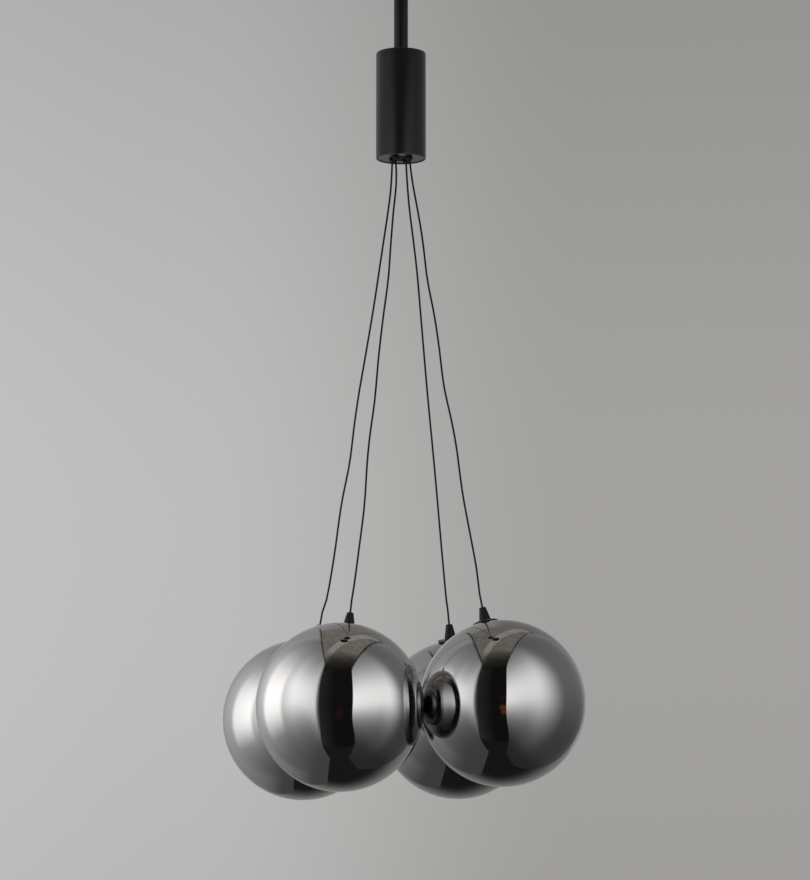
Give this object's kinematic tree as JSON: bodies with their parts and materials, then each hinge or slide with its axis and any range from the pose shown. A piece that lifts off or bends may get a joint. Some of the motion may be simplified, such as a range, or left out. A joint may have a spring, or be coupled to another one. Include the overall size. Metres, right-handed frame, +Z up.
{
  "type": "pendant light",
  "caption": "Cluster pendant light: smoked mirror-glass globes hang on thin black cables from a slim canister on a stem with a ceiling canopy.",
  "frame": {"origin": "centre of the ceiling bracket's top face, in the plane of the ceiling", "axes": "+Z up out of the fixture into the ceiling, -Z along the stem, -Y towards the front, +X along the bracket to the right"},
  "size_m": [0.332, 0.3327, 1.0257],
  "materials": {
    "zinc": "zinc plated, satin",
    "satin_black": "satin black powder coat",
    "black_plastic": "matte black",
    "cable_jacket": "matte black jacket",
    "gasket": "matte",
    "holder_ceramic": "unglazed",
    "lamp_phosphor": "clear over orange phosphor",
    "driver_case": "matte",
    "smoked_mirror_glass": "smoked half-mirror coating, polished"
  },
  "bodies": {
    "ceiling_mount": {"ceiling_bracket": "zinc", "canopy_cover": "satin_black", "canopy_screw_left": "satin_black", "canopy_screw_right": "satin_black", "canopy_hub": "satin_black", "supply_terminal": "holder_ceramic", "supply_lead_upper": "cable_jacket"},
    "swivel": {"swivel_fork": "satin_black", "swivel_nut": "zinc", "pivot_screw_left": "satin_black", "pivot_screw_right": "satin_black"},
    "stem_and_canister": {"stem_head": "satin_black", "stem": "satin_black", "supply_lead_lower": "cable_jacket", "stem_nipple": "zinc", "canister_nut": "zinc", "canister": "satin_black", "gland_plate": "satin_black", "plate_set_screw": "zinc", "lamp_driver": "driver_case", "cable_gland_front_left": "black_plastic", "cable_gland_front_right": "black_plastic", "cable_gland_back_right": "black_plastic", "cable_gland_back_left": "black_plastic"},
    "drop_front_left": {"cable_front_left": "cable_jacket", "cord_grip_front_left": "black_plastic", "cap_front_left": "satin_black", "support_tube_front_left": "satin_black", "lamp_holder_front_left": "holder_ceramic"},
    "glass_front_left": {"gasket_front_left": "gasket", "globe_collar_front_left": "satin_black", "globe_front_left": "smoked_mirror_glass"},
    "plug_in_front_left": {"lamp_front_left": "lamp_phosphor"},
    "drop_front_right": {"cable_front_right": "cable_jacket", "cord_grip_front_right": "black_plastic", "cap_front_right": "satin_black", "support_tube_front_right": "satin_black", "lamp_holder_front_right": "holder_ceramic"},
    "glass_front_right": {"gasket_front_right": "gasket", "globe_collar_front_right": "satin_black", "globe_front_right": "smoked_mirror_glass"},
    "plug_in_front_right": {"lamp_front_right": "lamp_phosphor"},
    "drop_back_right": {"cable_back_right": "cable_jacket", "cord_grip_back_right": "black_plastic", "cap_back_right": "satin_black", "support_tube_back_right": "satin_black", "lamp_holder_back_right": "holder_ceramic"},
    "glass_back_right": {"gasket_back_right": "gasket", "globe_collar_back_right": "satin_black", "globe_back_right": "smoked_mirror_glass"},
    "plug_in_back_right": {"lamp_back_right": "lamp_phosphor"},
    "drop_back_left": {"cable_back_left": "cable_jacket", "cord_grip_back_left": "black_plastic", "cap_back_left": "satin_black", "support_tube_back_left": "satin_black", "lamp_holder_back_left": "holder_ceramic"},
    "glass_back_left": {"gasket_back_left": "gasket", "globe_collar_back_left": "satin_black", "globe_back_left": "smoked_mirror_glass"},
    "plug_in_back_left": {"lamp_back_left": "lamp_phosphor"}
  },
  "joints": [
    {"name": "swivel_turn", "type": "hinge", "parent": "ceiling_mount", "child": "swivel", "pos_m": [0, 0, -0.0285], "axis": [0, 0, 1], "range_deg": [-170, 170]},
    {"name": "stem_tilt", "type": "hinge", "parent": "swivel", "child": "stem_and_canister", "pos_m": [0, 0, -0.04063], "axis": [1, 0, 0], "range_deg": [-45, 45]},
    {"name": "drop_swing_front_left", "type": "hinge", "parent": "stem_and_canister", "child": "drop_front_left", "pos_m": [-0.00457, -0.00775, -0.42743], "axis": [-0.8616, 0.5075, 0], "range_deg": [0, 30]},
    {"name": "globe_release_front_left", "type": "slide", "parent": "drop_front_left", "child": "glass_front_left", "axis": [-0.0928, -0.3172, -0.9438], "range_m": [0, 0.1]},
    {"name": "lamp_release_front_left", "type": "slide", "parent": "drop_front_left", "child": "plug_in_front_left", "axis": [-0.0928, -0.3172, -0.9438], "range_m": [0, 0.012]},
    {"name": "drop_swing_front_right", "type": "hinge", "parent": "stem_and_canister", "child": "drop_front_right", "pos_m": [0.00775, -0.00457, -0.42743], "axis": [-0.5075, -0.8616, 0], "range_deg": [0, 30]},
    {"name": "globe_release_front_right", "type": "slide", "parent": "drop_front_right", "child": "glass_front_right", "axis": [0.1913, -0.1866, -0.9636], "range_m": [0, 0.1]},
    {"name": "lamp_release_front_right", "type": "slide", "parent": "drop_front_right", "child": "plug_in_front_right", "axis": [0.1913, -0.1866, -0.9636], "range_m": [0, 0.012]},
    {"name": "drop_swing_back_right", "type": "hinge", "parent": "stem_and_canister", "child": "drop_back_right", "pos_m": [0.00457, 0.00775, -0.42743], "axis": [0.8616, -0.5075, 0], "range_deg": [0, 30]},
    {"name": "globe_release_back_right", "type": "slide", "parent": "drop_back_right", "child": "glass_back_right", "axis": [0.0924, 0.1551, -0.9836], "range_m": [0, 0.1]},
    {"name": "lamp_release_back_right", "type": "slide", "parent": "drop_back_right", "child": "plug_in_back_right", "axis": [0.0924, 0.1551, -0.9836], "range_m": [0, 0.012]},
    {"name": "drop_swing_back_left", "type": "hinge", "parent": "stem_and_canister", "child": "drop_back_left", "pos_m": [-0.00775, 0.00457, -0.42743], "axis": [0.5075, 0.8616, 0], "range_deg": [0, 30]},
    {"name": "globe_release_back_left", "type": "slide", "parent": "drop_back_left", "child": "glass_back_left", "axis": [-0.168, -0.1009, -0.9806], "range_m": [0, 0.1]},
    {"name": "lamp_release_back_left", "type": "slide", "parent": "drop_back_left", "child": "plug_in_back_left", "axis": [-0.168, -0.1009, -0.9806], "range_m": [0, 0.012]}
  ]
}
